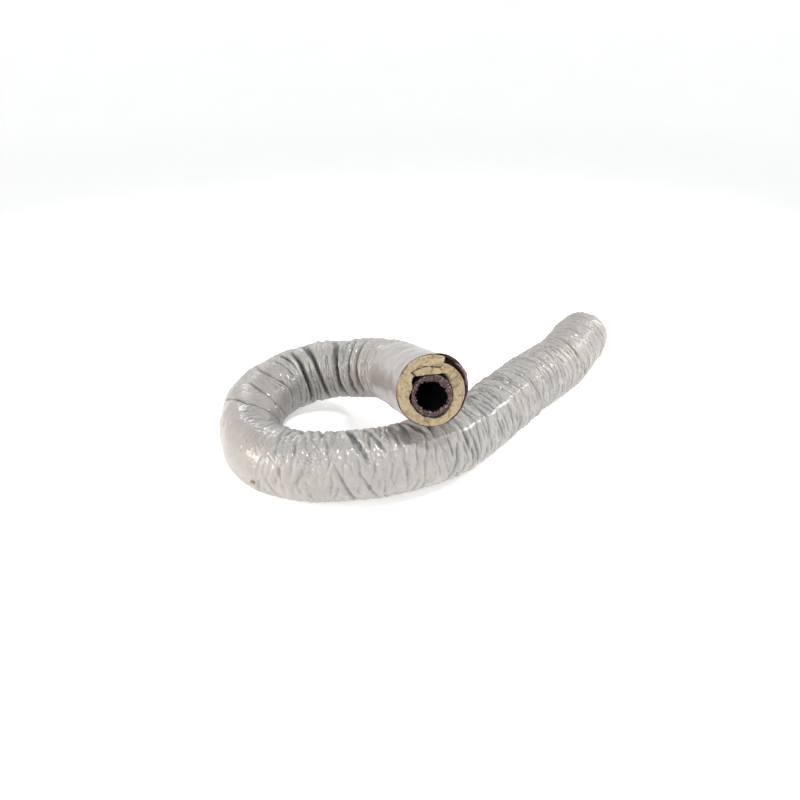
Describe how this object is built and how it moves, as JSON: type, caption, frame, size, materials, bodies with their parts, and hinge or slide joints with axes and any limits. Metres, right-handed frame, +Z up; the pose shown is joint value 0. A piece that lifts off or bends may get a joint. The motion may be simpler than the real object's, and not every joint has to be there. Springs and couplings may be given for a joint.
{
  "type": "insulated flexible air duct",
  "caption": "Insulated flexible air duct lying in one open loop: a wire-wound film core in a glass-wool blanket and a loose film jacket, its mouth resting over its own run.",
  "frame": {"origin": "the point on the floor below the middle of the duct's box", "axes": "+Z up from the floor; +X along the longer side of the loop, towards the tail end; the mouth faces -Y and slightly +X"},
  "size_m": [1.2771, 1.0054, 0.4051],
  "materials": {
    "inner_film": "dark metallised polyester film, satin",
    "spring_wire": "drawn spring-steel wire",
    "outer_film": "metallised polyester film with a purple-brown cast, gloss",
    "glass_wool": "matt resin-bonded glass wool, pale yellow",
    "jacket_film": "light grey polyethylene film, glossy and finely wrinkled"
  },
  "bodies": {
    "front_loop": {"inner_ply_front_loop": "inner_film", "wire_helix_front_loop": "spring_wire", "outer_ply_front_loop": "outer_film", "jacket_front_loop": "jacket_film", "insulation_crossing": "glass_wool", "insulation_sweep_first": "glass_wool", "insulation_sweep_second": "glass_wool", "insulation_front": "glass_wool", "insulation_left_first": "glass_wool", "insulation_left_second": "glass_wool", "inner_ply_tail_near_bend": "inner_film", "wire_helix_tail_near_bend": "spring_wire", "outer_ply_tail_near_bend": "outer_film", "jacket_tail_near_bend": "jacket_film", "insulation_tail_near_bend": "glass_wool", "inner_ply_left_bend": "inner_film", "wire_helix_left_bend": "spring_wire", "outer_ply_left_bend": "outer_film", "jacket_left_bend": "jacket_film", "insulation_left_bend": "glass_wool"},
    "tail_middle": {"inner_ply_tail_middle": "inner_film", "wire_helix_tail_middle": "spring_wire", "outer_ply_tail_middle": "outer_film", "jacket_tail_middle": "jacket_film", "insulation_tail_middle": "glass_wool", "inner_ply_tail_far_bend": "inner_film", "wire_helix_tail_far_bend": "spring_wire", "outer_ply_tail_far_bend": "outer_film", "jacket_tail_far_bend": "jacket_film", "insulation_tail_far_bend": "glass_wool"},
    "tail_end": {"inner_ply_tail_end": "inner_film", "wire_helix_tail_end": "spring_wire", "outer_ply_tail_end": "outer_film", "jacket_tail_end": "jacket_film", "insulation_tail_end": "glass_wool"},
    "back_loop": {"inner_ply_back_loop": "inner_film", "wire_helix_back_loop": "spring_wire", "outer_ply_back_loop": "outer_film", "jacket_back_loop": "jacket_film", "insulation_back_first": "glass_wool", "insulation_back_middle": "glass_wool", "insulation_back_last": "glass_wool", "insulation_rise_first": "glass_wool", "insulation_rise_second": "glass_wool", "inner_ply_mouth_bend": "inner_film", "wire_helix_mouth_bend": "spring_wire", "outer_ply_mouth_bend": "outer_film", "jacket_mouth_bend": "jacket_film", "insulation_mouth_bend": "glass_wool"},
    "mouth": {"inner_ply_mouth": "inner_film", "wire_helix_mouth": "spring_wire", "outer_ply_mouth": "outer_film", "jacket_mouth": "jacket_film", "insulation_mouth": "glass_wool"}
  },
  "joints": [
    {"name": "tail_bend_near", "type": "hinge", "parent": "front_loop", "child": "tail_middle", "pos_m": [0.29022, 0.05951, 0.0936], "axis": [0, 0, 1], "range_deg": [-15, 15], "deforming": ["inner_ply_tail_near_bend", "wire_helix_tail_near_bend", "outer_ply_tail_near_bend", "jacket_tail_near_bend", "insulation_tail_near_bend"]},
    {"name": "tail_bend_far", "type": "hinge", "parent": "tail_middle", "child": "tail_end", "pos_m": [0.43491, 0.23708, 0.0936], "axis": [0, 0, 1], "range_deg": [-20, 20], "deforming": ["inner_ply_tail_far_bend", "wire_helix_tail_far_bend", "outer_ply_tail_far_bend", "jacket_tail_far_bend", "insulation_tail_far_bend"]},
    {"name": "loop_open", "type": "hinge", "parent": "front_loop", "child": "back_loop", "pos_m": [-0.54505, -0.15106, 0.0936], "axis": [0, 0, 1], "range_deg": [0, 15], "deforming": ["inner_ply_left_bend", "wire_helix_left_bend", "outer_ply_left_bend", "jacket_left_bend", "insulation_left_bend"]},
    {"name": "mouth_lift", "type": "hinge", "parent": "back_loop", "child": "mouth", "pos_m": [-0.11018, -0.08022, 0.20863], "axis": [-0.9679, -0.2512, 0], "range_deg": [0, 30], "deforming": ["inner_ply_mouth_bend", "wire_helix_mouth_bend", "outer_ply_mouth_bend", "jacket_mouth_bend", "insulation_mouth_bend"]}
  ]
}
